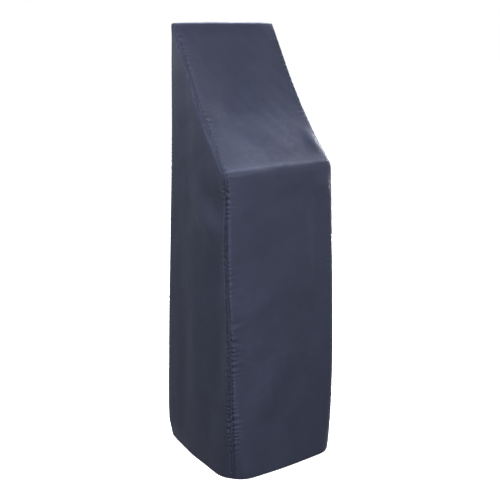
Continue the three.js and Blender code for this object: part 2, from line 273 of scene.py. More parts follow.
class Outline:
    """One side of the cover seen square on, from the front hem over the ridge to the back hem.

    A station counts the runs of the outline: 0 to 1 up the front, to 2 round the ridge, to 3 up
    the slope, to 4 round the top fold, and to 5 down the back. y is the depth behind the sharp
    top edge, and z the height above the hem.
    """

    RIDGE = 1.5
    SLOPE_FOOT = 2.0
    SLOPE_HEAD = 3.0
    TOP = 3.5
    FRONT_POINTS = 500
    ARC_POINTS = 40
    SLOPE_POINTS = 340
    BACK_POINTS = 600
    NEAR_END = 0.02
    BLEND = 0.16
    KNOT_STEP = 3
    POINTS_AT_ONCE = 2000

    def __init__(self, form: "CoverForm", side: SideSizes) -> None:
        """Lays out the outline of one side.

        Args:
            form: the sizes that both sides share.
            side: the sizes of this side.
        """
        ridge, top = np.array(form.ridge), np.array(form.sharp_top)
        front_hem, back_hem = np.array(form.front_hem), np.array(form.back_hem)
        slope = top - ridge
        slope_length = float(np.linalg.norm(slope))
        inward = np.array([slope[1], -slope[0]]) / slope_length
        skew = math.log(0.5) / math.log(side.sag_at)

        def on_slope(t: Array) -> Array:
            t = np.atleast_1d(t)[:, None]
            return ridge + slope * t + inward * side.sag * np.sin(np.pi * t**skew)

        up_front = self._way(front_hem, ridge)
        off_ridge = self._way(ridge, on_slope(self.NEAR_END)[0])
        to_top = self._way(on_slope(1.0 - self.NEAR_END)[0], top)
        down_back = self._way(top, back_hem)
        ridge_arc, ridge_reach, _ = self._round(ridge, up_front, off_ridge, form.ridge_fold_radius)
        top_arc, top_reach, self.top_centre = self._round(
            top, to_top, down_back, form.top_fold_radius)

        sloping = on_slope(np.linspace(ridge_reach / slope_length,
                                       1.0 - top_reach / slope_length, self.SLOPE_POINTS))
        t = np.linspace(0.0, 1.0, self.SLOPE_POINTS)[:, None]
        sloping += (ridge_arc[-1] - sloping[0]) * (1.0 - smoothstep(t, 0.0, self.BLEND))
        sloping += (top_arc[0] - sloping[-1]) * smoothstep(t, 1.0 - self.BLEND, 1.0)
        front = lerp(front_hem, ridge_arc[0], np.linspace(0.0, 1.0, self.FRONT_POINTS)[:, None])
        back = lerp(top_arc[-1], back_hem, np.linspace(0.0, 1.0, self.BACK_POINTS)[:, None])

        runs = (front, ridge_arc, sloping, top_arc, back)
        stations = [i + np.linspace(0.0, 1.0, len(run)) for i, run in enumerate(runs)]
        self.station = np.concatenate([s[:-1] for s in stations[:-1]] + [stations[-1]])
        self.point = np.concatenate([run[:-1] for run in runs[:-1]] + [runs[-1]])
        steps = np.linalg.norm(np.diff(self.point, axis=0), axis=1)
        self.length = np.concatenate([[0.0], np.cumsum(steps)])
        along = np.gradient(self.point, self.length, axis=0)
        along /= np.linalg.norm(along, axis=1)[:, None]
        self.facing = np.stack([-along[:, 1], along[:, 0]], axis=1)

    @staticmethod
    def _way(start: Array, end: Array) -> Array:
        """The unit direction from start to end."""
        return (end - start) / np.linalg.norm(end - start)

    @classmethod
    def _round(cls, corner: Array, arriving: Array, leaving: Array,
               radius: float) -> tuple[Array, float, Array]:
        """Rounds a corner of the outline.

        Args:
            corner: the sharp corner.
            arriving: the way the outline comes to it.
            leaving: the way the outline goes on.
            radius: the round's radius.

        Returns:
            The points of the arc, how far it reaches from the corner, and its centre.
        """
        turn = math.acos(float(np.clip(arriving @ leaving, -1.0, 1.0)))
        reach = radius * math.tan(turn / 2.0)
        way = math.copysign(1.0, arriving[0] * leaving[1] - arriving[1] * leaving[0])
        start = corner - arriving * reach
        centre = start + np.array([-arriving[1], arriving[0]]) * way * radius
        angle = np.linspace(0.0, way * turn, cls.ARC_POINTS)[:, None]
        arm = start - centre
        across = np.array([-arm[1], arm[0]])
        return centre + arm * np.cos(angle) + across * np.sin(angle), reach, centre

    def at(self, station: Array) -> tuple[Array, Array, Array]:
        """Looks up places on the outline.

        Args:
            station: where they are.

        Returns:
            Their points, the ways they face, and their distances from the front hem.
        """
        def read(column: Array) -> Array:
            return np.interp(station, self.station, column)

        point = np.stack([read(self.point[:, 0]), read(self.point[:, 1])], axis=-1)
        facing = np.stack([read(self.facing[:, 0]), read(self.facing[:, 1])], axis=-1)
        facing /= np.linalg.norm(facing, axis=-1)[..., None]
        return point, facing, read(self.length)

    def nearest(self, flat: Array) -> tuple[Array, Array]:
        """Finds the places of the outline that lie nearest to points inside it.

        Args:
            flat: the points, an array of (y, z).

        Returns:
            The distance of each point, and the station nearest to it.
        """
        last = len(self.point) - 1
        knots = np.unique(np.append(np.arange(0, last + 1, self.KNOT_STEP), last))
        point, station = self.point[knots], self.station[knots]
        start, step = point[:-1], np.diff(point, axis=0)
        square = (step * step).sum(axis=1)
        distances, stations = [], []
        for part in np.array_split(flat, max(1, len(flat) // self.POINTS_AT_ONCE)):
            arm = part[:, None, :] - start
            share = np.clip((arm * step).sum(axis=2) / square, 0.0, 1.0)
            gap = np.linalg.norm(arm - step * share[..., None], axis=2)
            best = gap.argmin(axis=1)
            rows = np.arange(len(part))
            distances.append(gap[rows, best])
            stations.append(lerp(station[best], station[best + 1], share[rows, best]))
        return np.concatenate(distances), np.concatenate(stations)

    def length_at(self, station: Array) -> Array:
        """The distance from the front hem to each station."""
        return np.interp(station, self.station, self.length)

    def station_at(self, length: Array) -> Array:
        """The station at each distance from the front hem."""
        return np.interp(length, self.length, self.station)


@dataclass(frozen=True)
class SeamRelief:
    """How the cloth rises and dips beside a seam that is stitched down on both sides.

    A pair of ends gives the distances from the seam between which something starts or dies out.
    A beat is the distance along the seam in which a wave turns by one radian.
    """

    row_at: float = 0.0060
    welt: float = 0.0006
    welt_ends: tuple[float, float] = (0.0042, 0.0060)
    allowance: float = 0.0003
    allowance_ends: tuple[float, float] = (0.0095, 0.0130)
    groove: float = 0.0014
    groove_width: float = 0.0014
    join: float = 0.0009
    join_width: float = 0.0007
    ripple: float = 0.0042
    ripple_ends: tuple[float, float] = (0.0030, 0.0080)
    ripple_reach: float = 0.013
    strip_phase: float = 0.9
    side_phase: float = 2.3
    ripple_beat: float = 0.00302
    swing_beat: float = 0.0170
    slow_swing_beat: float = 0.0391
    patch_beat: float = 0.0477
    dent: float = 0.0036
    dent_out: float = 0.0006
    dent_width: float = 0.0036
    dent_beat: float = 0.0031
    row_shade_width: float = 0.0015
    join_shade: float = 0.35
    join_shade_width: float = 0.0008
    dent_shade_out: float = 0.0010
    dent_shade_width: float = 0.0034

    def _gathers(self, along: Array, on_strip: bool) -> tuple[Array, Array]:
        """The uneven beat of the puckers along the seam.

        Args:
            along: distances along the seam from the front hem.
            on_strip: whether the cloth is the strip, and not the side panel.

        Returns:
            Waves from -1 to 1, and narrow pinches from 0 to 1.
        """
        phase = self.strip_phase if on_strip else self.side_phase
        swing = np.sin(along / self.swing_beat + phase)
        swing += 0.6 * np.sin(along / self.slow_swing_beat + 2.1 * phase)
        wave = np.sin(along / self.ripple_beat + 1.8 * swing + phase)
        patchy = 0.55 + 0.45 * np.sin(along / self.patch_beat + 4.0 * phase)
        pinch = np.clip(np.sin(along / self.dent_beat + 2.4 * swing), 0.0, None) ** 3
        return wave * patchy, pinch

    def beside(self, side: SideSizes, gap: Array, along: Array,
               on_strip: bool) -> tuple[Array, Array]:
        """The cloth beside a seam.

        Args:
            side: the side whose seam it is.
            gap: distances from the seam.
            along: distances along the seam from the front hem.
            on_strip: whether the cloth is the strip, and not the side panel.

        Returns:
            How far it stands out, and the painted shade in its grooves, from 0 to 1.
        """
        strength = look_up(side.pucker, along)
        waves, pinch = self._gathers(along, on_strip)
        from_row = gap - self.row_at
        raised = self.welt * (1.0 - smoothstep(gap, *self.welt_ends))
        raised += self.allowance * (1.0 - smoothstep(gap, *self.allowance_ends))
        raised -= self.join * bump(gap, self.join_width)
        raised -= self.groove * bump(from_row, self.groove_width)
        fade = np.exp(-np.clip(from_row, 0.0, None) / self.ripple_reach)
        raised += self.ripple * strength * waves * smoothstep(gap, *self.ripple_ends) * fade
        deep = self.dent * (0.4 + 0.6 * strength)
        raised -= deep * pinch * bump(from_row - self.dent_out, self.dent_width)

        # Painted shade: the rows, the join and the pinches darken the cloth's colour, standing in
        # for the self-shadow in their grooves
        shade = (0.60 + 0.15 * strength) * bump(from_row, self.row_shade_width)
        shade += self.join_shade * bump(gap, self.join_shade_width)
        pinched = pinch * bump(from_row - self.dent_shade_out, self.dent_shade_width)
        shade += (0.3 + 0.7 * strength) * pinched
        return raised, np.clip(shade, 0.0, 1.0)


@dataclass(frozen=True)
class Crumple:
    """The faint unevenness of cloth that has hung in a pile: a few dozen crossing waves."""

    seed: int
    shortest: float = 0.030
    longest: float = 0.240
    height: float = 0.0016
    steepness: float = 1.15
    count: int = 36

    def rise(self, across: Array, along: Array) -> Array:
        """The waves' height at places on a panel.

        Args:
            across: distances across the panel.
            along: distances along it.

        Returns:
            How far the cloth stands out at each place.
        """
        draw = np.random.default_rng(self.seed)
        total = np.zeros(np.broadcast(across, along).shape)
        for _ in range(self.count):
            length = self.shortest * (self.longest / self.shortest) ** draw.random()
            angle, phase = draw.random(2) * 2.0 * np.pi
            along_wave = across * math.cos(angle) + along * math.sin(angle)
            tall = (length / self.longest) ** self.steepness
            total += tall * np.sin(2.0 * np.pi * along_wave / length + phase)
        return total * self.height / math.sqrt(self.count)


@dataclass
class CoverForm:
    """The hung shape that the three panels share, above the hem and behind the top edge.

    The ridge, the sharp top and the hems are (y, z) in the outline. A bow, the crown and the
    slope's sag say how far the cloth stands out or sinks between its seams, and
    side_bow_at_slope is the share of the side's bow that is left at the slope. What is held stays
    flat up to its first distance from a seam, and is free from its second. A corner narrows to
    the top's radius between the two heights of corner_tapers.
    """

    ridge: tuple[float, float] = (-0.386, 1.179)
    sharp_top: tuple[float, float] = (0.0, 1.715)
    front_hem: tuple[float, float] = (-0.454, 0.0)
    back_hem: tuple[float, float] = (0.071, 0.0)
    ridge_fold_radius: float = 0.050
    top_fold_radius: float = 0.008
    cad_thickness: float = 0.0016
    seam_gap: float = 0.0001
    top_corner: float = 0.0083
    corner_spread: float = 5.0
    front_bow: float = 0.013
    side_bow: float = 0.012
    side_bow_at_slope: float = 0.25
    side_bow_depth: float = 0.12
    slope_sag: float = 0.010
    top_crown: float = 0.0045
    crown_reach: float = 0.035
    corner_tapers: tuple[float, float] = (1.22, 1.62)
    least_turn: float = 0.12
    folds_held: tuple[float, float] = (0.002, 0.030)
    puckers_held: tuple[float, float] = (0.0, 0.007)
    crumples_held: tuple[float, float] = (0.004, 0.040)
    relief: SeamRelief = field(default_factory=SeamRelief)
    folds: tuple[Fold, ...] = FOLDS

    def __post_init__(self) -> None:
        """Lays out both sides and finds where the hanging point lies in them."""
        self.outlines = {side.panel: Outline(self, side) for side in (LEFT_SIDE, RIGHT_SIDE)}
        y, z = self.outlines[Panel.LEFT].top_centre
        self.hanging_point = np.array([0.0, y, z + self.top_fold_radius - self.cad_thickness])

    def placed(self, x: Array, y: Array, z: Array) -> Array:
        """Points in the frame, from x, the depth behind the top edge and the height."""
        return np.stack([x, y, z], axis=-1) - self.hanging_point

    def half_width(self, side: SideSizes, height: Array, share: Array) -> Array:
        """Half the cover's width on one side.

        Args:
            side: the side.
            height: heights above the hem.
            share: from 0 at the front edge to 1 at the back edge.

        Returns:
            The half width at each place.
        """
        return look_up(side.half, height) + look_up(side.back_out, height) * share * share

    def corner(self, side: SideSizes, height: Array, is_back: Array) -> Array:
        """The radius of a vertical corner.

        Args:
            side: the side.
            height: heights above the hem.
            is_back: whether it is the back corner.

        Returns:
            The radius, wide at the hem and tight at the top.
        """
        wide = np.where(is_back, side.back_hem_corner, side.front_hem_corner)
        edge = np.where(is_back, side.back_edge, side.front_edge)
        edge = lerp(edge, self.top_corner, smoothstep(height, *self.corner_tapers))
        below = np.clip(1.0 - height / self.ridge[1], 0.0, 1.0)
        return lerp(edge, wide, below**self.corner_spread)

    def edge_angle(self, side: SideSizes, radius: Array, along: Array, sign: float) -> Array:
        """The angle at a panel's cut edge: half the corner, moved with the seam's wander.

        Args:
            side: the side whose seam it is.
            radius: the corner's radius at each place.
            along: distances along the seam from the front hem.
            sign: 1 for the strip's edge and -1 for the side panel's.

        Returns:
            The angle from the middle of the panel's own flat part.
        """
        wander = look_up(side.wander, along)
        angle = np.pi / 4.0 + (sign * wander - self.seam_gap / 2.0) / radius
        return np.clip(angle, self.least_turn, np.pi / 2.0 - self.least_turn)

    def dips(self, panel: Panel, across: Array, height: Array, from_seam: Array) -> Array:
        """How far all the folds of one panel push its cloth inwards.

        Args:
            panel: the panel.
            across: places across it.
            height: heights above the hem.
            from_seam: distances from the nearest seam, where broad folds die out.

        Returns:
            The depth at each place.
        """
        free = smoothstep(from_seam, *self.folds_held)
        near = smoothstep(from_seam, *self.puckers_held)
        depth = np.zeros(np.shape(across))
        for fold in self.folds:
            if fold.panel is panel:
                depth += fold.dip(across, height) * (near if fold.at_seam else free)
        return depth


@dataclass(frozen=True)
class StripEdge:
    """The sizes at one side of the strip, by station."""

    point: Array
    facing: Array
    length: Array
    corner: Array
    half: Array
    angle: Array


class StripSurface:
    """The outer face of the long strip, by station and by the distance across the cloth."""

    def __init__(self, form: CoverForm) -> None:
        """Takes the shared form."""
        self.form = form
        self.left = form.outlines[Panel.LEFT]
        self.crumple = Crumple(seed=11)

    def _edges(self, station: Array) -> tuple[StripEdge, StripEdge, Array]:
        """Looks up both edges of the strip.

        Args:
            station: places along the outline.

        Returns:
            The left and the right edge, and the width of the cloth round both corners.
        """
        form = self.form
        is_back = station >= Outline.TOP
        height = self.left.at(station)[0][..., 1]
        edges = []
        for side in (LEFT_SIDE, RIGHT_SIDE):
            point, facing, length = form.outlines[side.panel].at(station)
            corner = form.corner(side, height, is_back)
            edges.append(StripEdge(
                point, facing, length, corner, form.half_width(side, height, is_back * 1.0),
                form.edge_angle(side, corner, length, 1.0)))
        left, right = edges
        flat = left.half + right.half - left.corner - right.corner
        return left, right, flat + left.corner * left.angle + right.corner * right.angle

    def width(self, station: Array) -> Array:
        """The width of the cloth at each station, round both corners."""
        return self._edges(station)[2]

    def at(self, station: Array, across: Array,
           depth: Array = 0.0) -> tuple[Array, Array, Array]:
        """Places on the strip.

        Args:
            station: where they are along the outline.
            across: their distances from the left seam, over the cloth.
            depth: how far they lie behind the outer face.

        Returns:
            The points in the frame, the ways they face, and the grooves' painted shade.
        """
        form = self.form
        left, right, width = self._edges(station)
        from_right = width - across
        left_turn = np.clip(left.angle - across / left.corner, 0.0, None)
        right_turn = np.clip(right.angle - from_right / right.corner, 0.0, None)
        x = left.corner - left.half + across - left.corner * left.angle
        x = np.where(left_turn > 0.0, left.corner * (1.0 - np.sin(left_turn)) - left.half, x)
        x = np.where(right_turn > 0.0, right.half - right.corner * (1.0 - np.sin(right_turn)), x)
        drop = (left.corner * (1.0 - np.cos(left_turn))
                + right.corner * (1.0 - np.cos(right_turn)))
        angle = right_turn - left_turn

        share = (x + left.half) / (left.half + right.half)
        middle = lerp(left.point, right.point, share[..., None])
        facing = lerp(left.facing, right.facing, share[..., None])
        facing /= np.linalg.norm(facing, axis=-1)[..., None]
        height = middle[..., 1]
        between = np.clip(across / width, 0.0, 1.0)
        arch = 4.0 * between * (1.0 - between)
        from_seam = np.minimum(across, from_right)
        is_back = station >= Outline.TOP
        is_slope = (station > Outline.RIDGE) & ~is_back
        belly = form.front_bow * arch * (1.0 - height / form.sharp_top[1])
        up_slope = np.clip((station - Outline.SLOPE_FOOT) * is_slope, 0.0, 1.0)
        belly -= form.slope_sag * arch * np.sin(np.pi * up_slope)
        from_top = left.length - self.left.length_at(Outline.TOP)
        crown = form.top_crown * (1.0 - (2.0 * between - 1.0) ** 6)
        belly += crown * bump(from_top, form.crown_reach)
        front, slope, back = (form.dips(panel, x, height, from_seam)
                              for panel in (Panel.FRONT, Panel.SLOPE, Panel.BACK))
        rise = belly - np.where(is_back, back, np.where(is_slope, slope, front)) - drop
        rise += (self.crumple.rise(across, left.length)
                 * smoothstep(from_seam, *form.crumples_held))
        at_left, left_shade = form.relief.beside(LEFT_SIDE, across, left.length, True)
        at_right, right_shade = form.relief.beside(RIGHT_SIDE, from_right, right.length, True)

        place = middle + facing * (rise + at_left + at_right)[..., None]
        outward = np.stack([np.sin(angle), facing[..., 0] * np.cos(angle),
                            facing[..., 1] * np.cos(angle)], axis=-1)
        point = form.placed(x, place[..., 0], place[..., 1])
        return (point - outward * np.asarray(depth)[..., None], outward,
                left_shade + right_shade)


class SideSurface:
    """The outer face of a side panel, by its flat place seen square on."""

    LEAST_DEPTH = 0.002

    def __init__(self, form: CoverForm, side: SideSizes) -> None:
        """Takes the shared form and the side."""
        self.form = form
        self.side = side
        self.outline = form.outlines[side.panel]
        self.crumple = Crumple(seed=23 if side is LEFT_SIDE else 37)
        self.front_length = float(self.outline.length_at(Outline.RIDGE))
        self.top_length = float(self.outline.length_at(Outline.TOP))
        self.full_length = float(self.outline.length[-1])

    def seam_point(self, along: Array, beside: Array) -> Array:
        """Flat places a distance over the cloth from the panel's seam.

        Args:
            along: distances along the seam from the front hem.
            beside: distances over the cloth from the seam.

        Returns:
            The (y, z) of each place.
        """
        station = self.outline.station_at(along)
        point, facing, _ = self.outline.at(station)
        corner = self.form.corner(self.side, point[..., 1], station >= Outline.TOP)
        edge = self.form.edge_angle(self.side, corner, along, -1.0)
        turn = edge - beside / corner
        inset = np.where(turn > 0.0, corner * (1.0 - np.sin(np.clip(turn, 0.0, None))),
                         corner * (1.0 - turn))
        return point - facing * inset[..., None]

    def at(self, flat: Array, depth: Array = 0.0) -> tuple[Array, Array, Array]:
        """Places on the side panel.

        Args:
            flat: their (y, z), the depth behind the top edge and the height above the hem.
            depth: how far they lie behind the outer face.

        Returns:
            The points in the frame, the ways they face, and the grooves' painted shade.
        """
        form, side = self.form, self.side
        y, z = flat[..., 0], flat[..., 1]
        facing, along, corner, sine, from_seam = self._near_seam(flat)
        cosine = np.sqrt(1.0 - sine * sine)

        head = np.searchsorted(self.outline.station, Outline.SLOPE_HEAD)
        rising = self.outline.point[:head]
        front_y = np.interp(z, rising[:, 1], rising[:, 0])
        back_y = np.interp(z, (form.back_hem[1], form.sharp_top[1]),
                           (form.back_hem[0], form.sharp_top[0]))
        mitre = 1.0 - math.sqrt(0.5)
        front_y = front_y + mitre * form.corner(side, z, False)
        back_y = back_y - mitre * form.corner(side, z, True)
        share = np.clip((y - front_y) / np.maximum(back_y - front_y, self.LEAST_DEPTH), 0.0, 1.0)
        top_z = np.interp(y, (form.ridge[0], 0.0), (form.ridge[1], form.sharp_top[1]))
        belly = form.side_bow * 4.0 * share * (1.0 - share)
        belly *= lerp(form.side_bow_at_slope, 1.0, np.clip(1.0 - z / top_z, 0.0, 1.0))
        belly *= smoothstep(back_y - front_y, 0.0, form.side_bow_depth)

        rise = belly - form.dips(side.panel, y, z, from_seam)
        rise += self.crumple.rise(y, z) * smoothstep(from_seam, *form.crumples_held)
        relief, shade = form.relief.beside(side, from_seam, along, False)
        rise += relief
        x = form.half_width(side, z, share) - corner * (1.0 - cosine)
        outward = np.stack([side.out * cosine, facing[..., 0] * sine, facing[..., 1] * sine],
                           axis=-1)
        point = form.placed(side.out * x, y, z) + outward * rise[..., None]
        return point - outward * np.asarray(depth)[..., None], outward, shade

    def _near_seam(self, flat: Array) -> tuple[Array, ...]:
        """Looks up the seam beside places on the panel.

        Args:
            flat: their (y, z).

        Returns:
            The way the outline faces there, the distance along the seam, the corner's radius, how
            far the cloth turns round it, as a sine, and the distance from the seam over the cloth.
        """
        shape = flat.shape[:-1]
        distance, station = self.outline.nearest(flat.reshape(-1, 2))
        distance, station = distance.reshape(shape), station.reshape(shape)
        _, facing, along = self.outline.at(station)
        corner = self.form.corner(self.side, flat[..., 1], station >= Outline.TOP)
        edge = self.form.edge_angle(self.side, corner, along, -1.0)
        sine = np.clip(1.0 - distance / corner, 0.0, 1.0)
        flat_reach = corner * edge + distance - corner
        from_seam = np.where(sine > 0.0, corner * (edge - np.arcsin(sine)), flat_reach)
        return facing, along, corner, sine, np.clip(from_seam, 0.0, None)


def spread(length: Array, start: tuple[float, ...], end: tuple[float, ...],
           count: int) -> Array:
    """Divides lengths into cells: given steps at both ends and even cells between them.

    Args:
        length: the lengths to divide.
        start: distances from the start, the first of them 0.
        end: distances from the end, the first of them 0.
        count: the number of cells.

    Returns:
        The places of the count + 1 lines, one row for each length.
    """
    length = np.atleast_1d(length)[:, None]
    first, last = np.array(start)[None, :], length - np.array(end)[None, ::-1]
    cells = count + 2 - len(start) - len(end)
    share = np.linspace(0.0, 1.0, cells + 1)[None, 1:-1]
    middle = lerp(first[:, -1:], last[:, :1], share)
    return np.concatenate([np.repeat(first, len(length), axis=0), middle, last], axis=1)


@dataclass(frozen=True)
class Hem:
    """The turned-up edge of a panel: how deep it is turned and how tightly it is folded."""

    depth: float = 0.014
    fold_radius: float = 0.0013
    fold_steps: int = 4
    stitched_at: float = 0.0115

    def rows(self) -> tuple[Array, Array]:
        """The rows from the cut edge inside the cover round to the outer face.

        Returns:
            Their heights above the hem and their depths behind the outer face.
        """
        radius = self.fold_radius
        inside = np.array([self.depth, self.depth * 0.65, self.depth * 0.3])
        angle = np.linspace(np.pi, 0.0, self.fold_steps + 1)
        heights = np.concatenate([inside, radius * (1.0 - np.sin(angle))])
        depths = np.concatenate([np.full(3, 2.0 * radius), radius * (1.0 - np.cos(angle))])
        return heights, depths


@dataclass
class ClothPanel:
    """Makes one panel's sheet, from a grid whose points are moved to the panel's surface."""

    node: str
    thickness: float = 0.0010

    def build(self, points: Array, cloth: Array, shade: Array,
              material: bpy.types.Material) -> bpy.types.Object:
        """Args:
            points: the places of the grid's rows and columns.
            cloth: their distances across and along the cloth.
            shade: the painted shade that darkens the seams' grooves there.
            material: the cloth's finish.

        Returns:
            The finished object.
        """
        name = self.node + "_cloth"
        rows, columns = points.shape[0] - 1, points.shape[1] - 1
        grid = bmesh.new()
        bmesh.ops.create_grid(grid, x_segments=columns, y_segments=rows, size=1.0)
        for face in grid.faces:
            face.smooth = True
        mesh = bpy.data.meshes.new(name)
        grid.to_mesh(mesh)
        grid.free()

        flat = np.zeros(len(mesh.vertices) * 3)
        mesh.vertices.foreach_get("co", flat)
        flat = flat.reshape(-1, 3)
        column = np.rint((flat[:, 0] + 1.0) / 2.0 * columns).astype(int)
        row = np.rint((flat[:, 1] + 1.0) / 2.0 * rows).astype(int)
        mesh.vertices.foreach_set("co", points[row, column].ravel())
        corner = np.zeros(len(mesh.loops), dtype=int)
        mesh.loops.foreach_get("vertex_index", corner)
        layer = mesh.uv_layers.new(name="cloth")
        layer.data.foreach_set("uv", cloth[row[corner], column[corner]].ravel())
        # Painted shade of the seams' grooves, stored for the cloth's material to darken its colour
        painted_shade_layer = mesh.attributes.new("painted_seam_shade", "FLOAT", "POINT")
        painted_shade_layer.data.foreach_set("value", shade[row, column].ravel())
        mesh.update()
        mesh.materials.append(material)

        panel = linked(name, mesh)
        layers = panel.modifiers.new("cloth_thickness", "SOLIDIFY")
        layers.thickness = self.thickness
        layers.offset = -1.0
        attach(panel, BODY)
        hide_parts(self.node)
        LOG.info("%s: %d by %d cells", name, columns, rows)
        return panel


@dataclass
class CentreStrip:
    """The long strip: front, slope, top fold and back in one piece of cloth."""

    surface: StripSurface
    hem: Hem
    left_steps: tuple[float, ...] = (
        0.0, 0.0006, 0.0016, 0.0032, 0.0045, 0.0054, 0.0064, 0.0076, 0.0094, 0.0118, 0.0150,
        0.0188, 0.0232, 0.0282, 0.0337, 0.0397, 0.0462, 0.0530)
    right_steps: tuple[float, ...] = (
        0.0, 0.0006, 0.0016, 0.0032, 0.0045, 0.0055, 0.0066, 0.0082, 0.0106, 0.0140, 0.0190,
        0.0250, 0.0330, 0.0430)
    columns: int = 86
    front_cell: float = 0.0042
    slope_cell: float = 0.0054
    back_cell: float = 0.0150
    fold_rows: int = 11
    low_rows: tuple[float, ...] = (0.0040, 0.0080, 0.0110)
    back_row: float = 0.020
    clear_of_top: float = 0.001
    clear_of_hem: float = 0.030

    def stations(self) -> tuple[Array, Array]:
        """The strip's rows, from the cut edge inside the front hem to the one inside the back.

        Returns:
            Their stations, and their depths behind the outer face.
        """
        outline = self.surface.left
        lengths = outline.length_at(np.arange(6.0))
        hem_rows, hem_depths = self.hem.rows()
        front = np.arange(self.hem.depth, lengths[1], self.front_cell)
        front = np.concatenate([self.low_rows, front])
        slope = np.arange(lengths[2] + self.slope_cell, lengths[3] - self.clear_of_top,
                          self.slope_cell)
        back = np.arange(lengths[4] + self.back_cell, lengths[5] - self.clear_of_hem,
                         self.back_cell)
        back_end = lengths[5] - np.array([self.back_row, self.hem.depth, *self.low_rows[::-1]])
        ridge = np.linspace(lengths[1], lengths[2], self.fold_rows)
        top = np.linspace(lengths[3], lengths[4], self.fold_rows)
        walk = np.concatenate([
            hem_rows, front, ridge, slope, top, back, back_end, lengths[5] - hem_rows[::-1]])
        depths = np.zeros(len(walk))
        depths[: len(hem_depths)] = hem_depths
        depths[-len(hem_depths):] = hem_depths[::-1]
        return outline.station_at(walk), depths

    def build(self, material: bpy.types.Material) -> bpy.types.Object:
        """Makes the strip.

        Args:
            material: the cloth's finish.

        Returns:
            The strip's sheet.
        """
        station, depths = self.stations()
        width = self.surface.width(station)
        across = spread(width, self.left_steps, self.right_steps, self.columns)
        stations = np.repeat(station[:, None], across.shape[1], axis=1)
        points, _, shade = self.surface.at(stations, across, np.repeat(
            depths[:, None], across.shape[1], axis=1))
        along = self.surface.left.length_at(stations)
        cloth = np.stack([across - width[:, None] / 2.0, along], axis=-1)
        return ClothPanel("centre_strip").build(points, cloth, shade, material)


@dataclass
class SidePanel:
    """A side panel: five-sided, with its slanting edge under the slope."""

    surface: SideSurface
    hem: Hem
    node: str
    front_steps: tuple[float, ...] = (
        0.0, 0.0006, 0.0016, 0.0032, 0.0045, 0.0054, 0.0064, 0.0076, 0.0094, 0.0120, 0.0155,
        0.0200, 0.0250, 0.0310)
    back_steps: tuple[float, ...] = (
        0.0, 0.0006, 0.0018, 0.0036, 0.0050, 0.0063, 0.0078, 0.0102, 0.0140, 0.0200)
    slope_steps: tuple[float, ...] = (
        0.0, 0.0010, 0.0027, 0.0054, 0.0076, 0.0092, 0.0109, 0.0130, 0.0160, 0.0200, 0.0255,
        0.0320, 0.0400, 0.0490)
    hem_steps: tuple[float, ...] = (0.0013, 0.0040, 0.0080, 0.0110, 0.0140, 0.0180)
    columns: int = 100
    rows: int = 330

    def flat_places(self) -> tuple[Array, Array]:
        """The panel's grid seen square on, blended from its four edges.

        Returns:
            The (y, z) of each row and column, and the depths behind the outer face.
        """
        surface = self.surface
        front, top, full = surface.front_length, surface.top_length, surface.full_length
        hem_heights, hem_depths = self.hem.rows()
        turned = len(hem_heights) - 1

        def edge(along: Array) -> Array:
            return surface.seam_point(along, np.zeros(1))

        rough_v = np.linspace(0.0, 1.0, self.rows + 1)
        rough_u = np.linspace(0.0, 1.0, self.columns + 1)
        front_edge, back_edge = edge(rough_v * front), edge(full - rough_v * (full - top))
        widths = np.linalg.norm(back_edge - front_edge, axis=1)
        across = spread(widths, self.front_steps, self.back_steps, self.columns)
        u = across / widths[:, None]
        tall = lerp(front, full - top, rough_u)
        up = spread(tall, self.hem_steps, self.slope_steps, self.rows).T
        v = up / tall[None, :]
        u = np.concatenate([np.repeat(u[:1], turned, axis=0), u])
        inside = np.repeat(hem_heights[:turned, None], self.columns + 1, axis=1)
        v = np.concatenate([inside / tall[None, :], v])
        depths = np.zeros(v.shape)
        depths[: turned + 1] = hem_depths[:, None]

        front_edge, back_edge = edge(v * front), edge(full - v * (full - top))
        slope_edge = edge(lerp(front, top, u))
        ridge_corner, top_corner = edge(np.full(1, front)), edge(np.full(1, top))
        u, v = u[..., None], v[..., None]
        flat = lerp(front_edge, back_edge, u)
        flat += v * (slope_edge - lerp(ridge_corner, top_corner, u))
        return flat, depths

    def build(self, material: bpy.types.Material) -> bpy.types.Object:
        """Makes the side panel.

        Args:
            material: the cloth's finish.

        Returns:
            The panel's sheet.
        """
        flat, depths = self.flat_places()
        points, _, shade = self.surface.at(flat, depths)
        cloth = flat.copy()
        if self.surface.side.out < 0.0:
            points, cloth, shade = points[:, ::-1], cloth[:, ::-1], shade[:, ::-1]
        return ClothPanel(self.node).build(points, cloth, shade, material)


